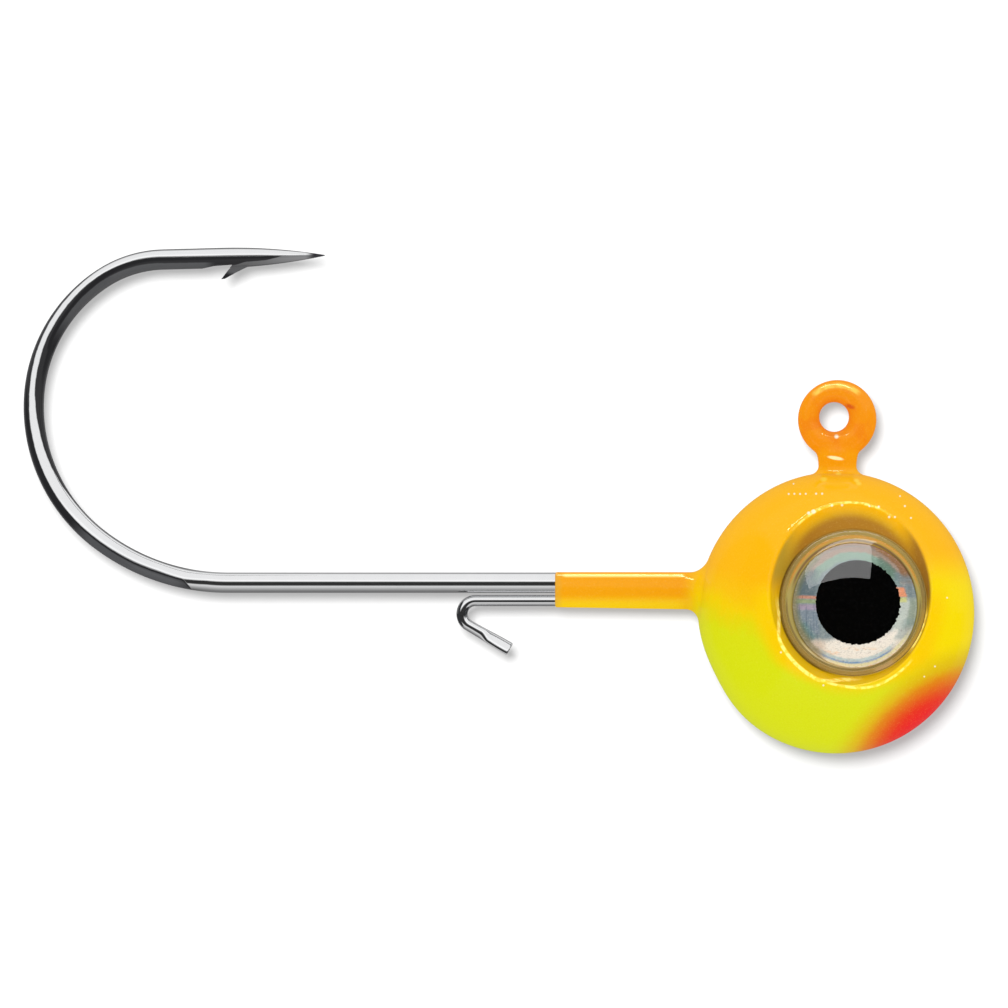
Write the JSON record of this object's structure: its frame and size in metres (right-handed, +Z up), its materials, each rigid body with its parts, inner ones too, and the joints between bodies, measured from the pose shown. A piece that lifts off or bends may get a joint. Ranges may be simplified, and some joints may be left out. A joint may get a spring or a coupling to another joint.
{
  "type": "jig head",
  "caption": "Round lead jig head cast on a round-bend hook with a wire bait keeper, enamelled, with a domed stick-on eye in a socket on each side.",
  "frame": {"origin": "on the collar's axis at the collar's end face, where a soft bait meets the head", "axes": "+X out of the front of the head, away from the bend of the hook; +Z up through the line-tie ring; Y across, with the hook in the plane y = 0. The jig's own right side is -Y"},
  "size_m": [0.0392, 0.0104, 0.0209],
  "materials": {
    "hook_steel": "polished black nickel on high-carbon steel wire",
    "keeper_steel": "polished black nickel on spring wire",
    "lead": "as-cast lead, dull grey",
    "enamel": "gloss enamel fading from orange on top through yellow to chartreuse below, with a red patch under the front",
    "adhesive": "translucent pressure-sensitive adhesive",
    "foil": "holographic silver foil",
    "pupil_ink": "black ink, slightly ragged edge",
    "lens": "clear glossy resin"
  },
  "bodies": {
    "root": {"hook": "hook_steel", "keeper_wire": "keeper_steel", "head_casting": "lead", "paint_coat": "enamel", "eye_adhesive_left": "adhesive", "eye_adhesive_right": "adhesive", "eye_foil_left": "foil", "eye_foil_right": "foil", "eye_pupil_left": "pupil_ink", "eye_pupil_right": "pupil_ink", "eye_dome_left": "lens", "eye_dome_right": "lens"}
  },
  "joints": []
}
